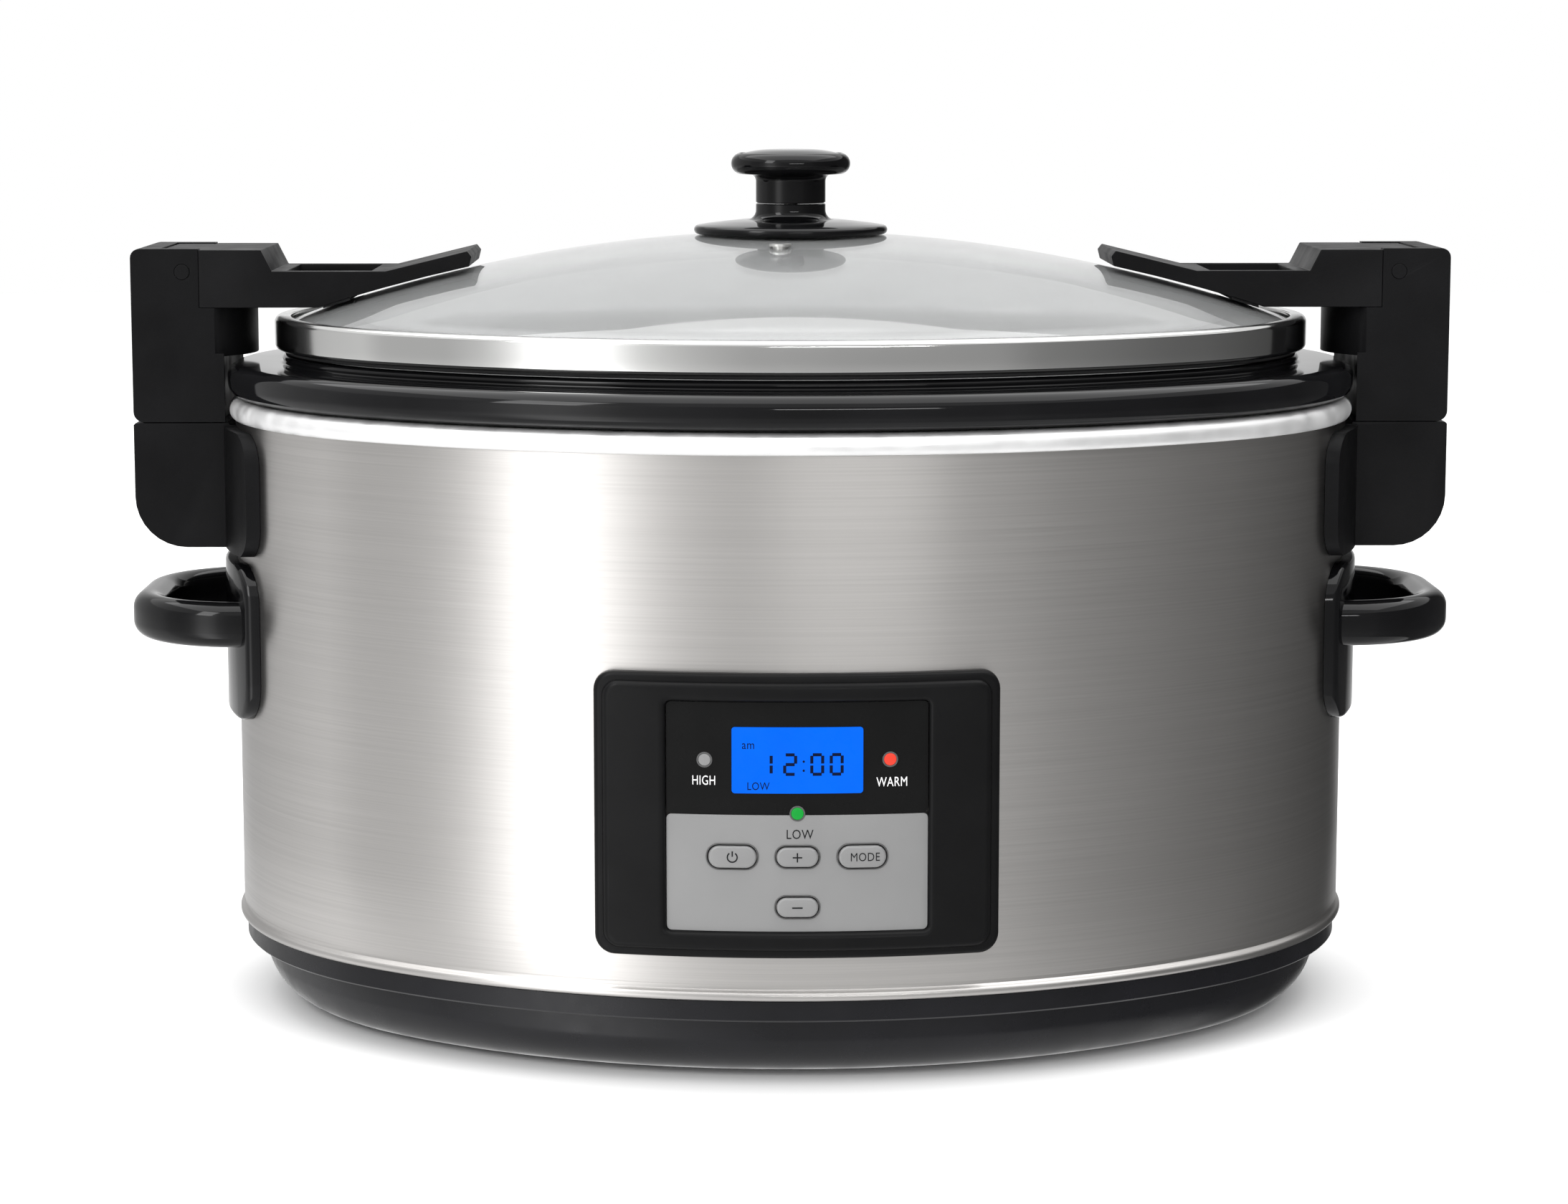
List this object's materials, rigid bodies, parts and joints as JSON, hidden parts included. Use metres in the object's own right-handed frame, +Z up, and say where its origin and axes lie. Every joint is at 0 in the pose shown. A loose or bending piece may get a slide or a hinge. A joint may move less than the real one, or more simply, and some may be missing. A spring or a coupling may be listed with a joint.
{
  "type": "slow cooker",
  "caption": "Oval slow cooker with a brushed steel wall, programmable front panel, lift-out black crock, domed glass lid, two swing clips and loop handles.",
  "frame": {"origin": "on the floor, under the centre of the oval body", "axes": "+X to the right along the long axis, front with the panel facing -Y, +Z up"},
  "size_m": [0.442, 0.306, 0.284],
  "materials": {
    "base_plastic": "satin moulded black",
    "rubber": "matte",
    "zinc": "zinc plated",
    "brushed_steel": "fine horizontal brushing",
    "rim_finish": "satin bright roll",
    "liner_metal": "mill finish",
    "heater_tape": "woven glass tape",
    "bezel_plastic": "fine satin texture",
    "display_gloss": "gloss black",
    "silver_paint": "silver paint on moulded plastic",
    "lcd_blue": "lit blue display",
    "lens_grey": "clear lens",
    "lens_green": "clear lens",
    "lens_red": "clear lens",
    "circuit_board": "solder mask",
    "switch_black": "moulded",
    "relay_blue": "moulded",
    "winding": "taped winding",
    "terminal_white": "moulded",
    "gloss_black": "polished moulded black",
    "clip_plastic": "fine grain moulded black",
    "crock_glaze": "gloss black glaze",
    "lid_glass": "tempered clear glass",
    "polished_steel": "polished band"
  },
  "bodies": {
    "base": {"base_pan": "base_plastic", "feet": "rubber", "tie_studs": "zinc", "tie_nuts": "zinc", "housing_wall": "brushed_steel", "rim_ring": "rim_finish", "heating_liner": "liner_metal", "heater_band": "heater_tape", "temperature_sensor": "zinc", "thermal_fuse": "zinc", "control_bezel": "bezel_plastic", "display_fascia": "display_gloss", "button_fascia": "silver_paint", "display_window": "lcd_blue", "led_high": "lens_grey", "led_low": "lens_green", "led_warm": "lens_red", "control_board": "circuit_board", "board_screws": "zinc", "tact_switches": "switch_black", "power_board": "circuit_board", "power_board_screws": "zinc", "relay": "relay_blue", "transformer": "winding", "terminal_block": "terminal_white", "cord_gland": "base_plastic", "left_handle": "gloss_black", "right_handle": "gloss_black", "handle_screws": "zinc", "left_lug": "clip_plastic", "right_lug": "clip_plastic", "lug_screws": "zinc", "left_hinge_pin": "zinc", "right_hinge_pin": "zinc"},
    "lid": {"lid_glass": "lid_glass", "lid_band": "polished_steel", "lid_gasket": "rubber", "knob_cap": "gloss_black", "knob_base": "gloss_black", "knob_screw": "zinc", "knob_washer": "gloss_black", "vent_eyelet": "zinc"},
    "crock_body": {"crock": "crock_glaze"},
    "left_clip": {"left_clip_post": "clip_plastic", "left_clip_arm": "clip_plastic", "left_arm_pin": "clip_plastic", "left_clip_pad": "rubber"},
    "right_clip": {"right_clip_post": "clip_plastic", "right_clip_arm": "clip_plastic", "right_arm_pin": "clip_plastic", "right_clip_pad": "rubber"},
    "power_key": {"power_button": "silver_paint"},
    "plus_key": {"plus_button": "silver_paint"},
    "minus_key": {"minus_button": "silver_paint"},
    "mode_key": {"mode_button": "silver_paint"}
  },
  "joints": [
    {"name": "left_clip_swing", "type": "hinge", "parent": "base", "child": "left_clip", "pos_m": [-0.2146, 0, 0.1982], "axis": [0, -1, 0], "range_deg": [0, 90]},
    {"name": "right_clip_swing", "type": "hinge", "parent": "base", "child": "right_clip", "pos_m": [0.2146, 0, 0.1982], "axis": [0, 1, 0], "range_deg": [0, 90]},
    {"name": "lid_lift", "type": "slide", "parent": "base", "child": "lid", "axis": [0, 0, 1], "range_m": [0, 0.08]},
    {"name": "crock_lift", "type": "slide", "parent": "base", "child": "crock_body", "axis": [0, 0, 1], "range_m": [0, 0.05]},
    {"name": "power_press", "type": "slide", "parent": "base", "child": "power_key", "axis": [0, 1, 0], "range_m": [0, 0.0006], "stiffness_N_per_m": 400},
    {"name": "plus_press", "type": "slide", "parent": "base", "child": "plus_key", "axis": [0, 1, 0], "range_m": [0, 0.0006], "stiffness_N_per_m": 400},
    {"name": "minus_press", "type": "slide", "parent": "base", "child": "minus_key", "axis": [0, 1, 0], "range_m": [0, 0.0006], "stiffness_N_per_m": 400},
    {"name": "mode_press", "type": "slide", "parent": "base", "child": "mode_key", "axis": [0, 1, 0], "range_m": [0, 0.0006], "stiffness_N_per_m": 400}
  ],
  "couplings": [
    {"joint": "right_clip_swing", "follows": "left_clip_swing", "ratio": 1},
    {"joint": "lid_lift", "follows": "left_clip_swing", "m_per_rad": 0.05},
    {"joint": "crock_lift", "follows": "left_clip_swing", "m_per_rad": 0.03}
  ]
}
